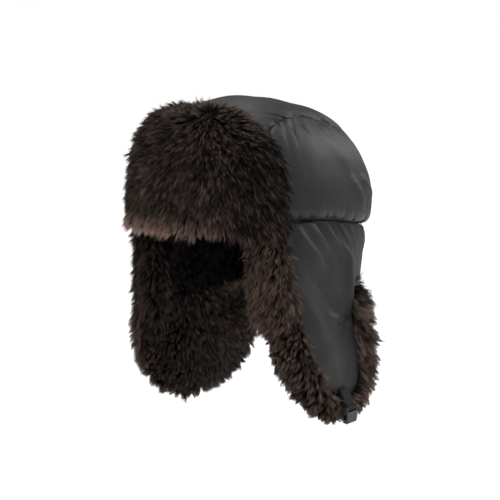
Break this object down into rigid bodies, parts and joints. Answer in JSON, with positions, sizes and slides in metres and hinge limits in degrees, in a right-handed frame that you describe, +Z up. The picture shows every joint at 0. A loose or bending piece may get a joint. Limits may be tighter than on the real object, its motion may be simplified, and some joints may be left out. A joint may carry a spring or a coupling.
{
  "type": "trapper hat",
  "caption": "Padded nylon trapper hat with a turned-up faux fur visor, fur-lined ear flaps that fold up, and a chin buckle on short tabs.",
  "frame": {"origin": "centre of the head opening, level with the middle of the seam between the crown and the skirt", "axes": "+X to the wearer's left, +Y to the back of the head, +Z up"},
  "size_m": [0.217, 0.2463, 0.3014],
  "materials": {
    "nylon": "charcoal woven nylon with a slight satin sheen",
    "wadding": "white polyester wadding",
    "lining": "black smooth lining over thin fleece",
    "fur": "dark brown long-pile faux fur",
    "felt": "grey needled felt",
    "webbing": "charcoal woven tape",
    "acetal": "black moulded plastic, slightly glossy"
  },
  "bodies": {
    "crown": {"crown_centre_panel": "nylon", "crown_centre_wadding": "wadding", "crown_centre_lining": "lining", "crown_left_panel": "nylon", "crown_left_wadding": "wadding", "crown_left_lining": "lining", "crown_right_panel": "nylon", "crown_right_wadding": "wadding", "crown_right_lining": "lining", "forehead_band": "nylon", "skirt_panel": "nylon", "skirt_wadding": "wadding", "skirt_fur_lining": "fur"},
    "visor": {"visor_back_panel": "nylon", "visor_felt": "felt", "visor_fur": "fur"},
    "left_flap": {"ear_flap_left_panel": "nylon", "ear_flap_left_wadding": "wadding", "ear_flap_left_fur": "fur", "tab_left": "webbing"},
    "right_flap": {"ear_flap_right_panel": "nylon", "ear_flap_right_wadding": "wadding", "ear_flap_right_fur": "fur", "tab_right": "webbing"},
    "socket": {"buckle_socket": "acetal"},
    "plug": {"buckle_plug": "acetal"}
  },
  "joints": [
    {"name": "visor_fold", "type": "hinge", "parent": "crown", "child": "visor", "pos_m": [0, -0.115, -0.006], "axis": [1, 0, 0], "range_deg": [0, 100]},
    {"name": "left_flap_fold", "type": "hinge", "parent": "crown", "child": "left_flap", "pos_m": [0.0907, -0.016, -0.077], "axis": [0, -1, 0], "range_deg": [-15, 150], "stiffness_Nm_per_rad": 0.06},
    {"name": "right_flap_fold", "type": "hinge", "parent": "crown", "child": "right_flap", "pos_m": [-0.0907, -0.016, -0.077], "axis": [0, 1, 0], "range_deg": [-15, 150], "stiffness_Nm_per_rad": 0.06},
    {"name": "socket_swing", "type": "hinge", "parent": "left_flap", "child": "socket", "pos_m": [0.1055, 0.002, -0.1745], "axis": [0, -1, 0], "range_deg": [-8, 110]},
    {"name": "plug_swing", "type": "hinge", "parent": "right_flap", "child": "plug", "pos_m": [-0.1055, 0.002, -0.1745], "axis": [0, 1, 0], "range_deg": [-8, 110]}
  ]
}
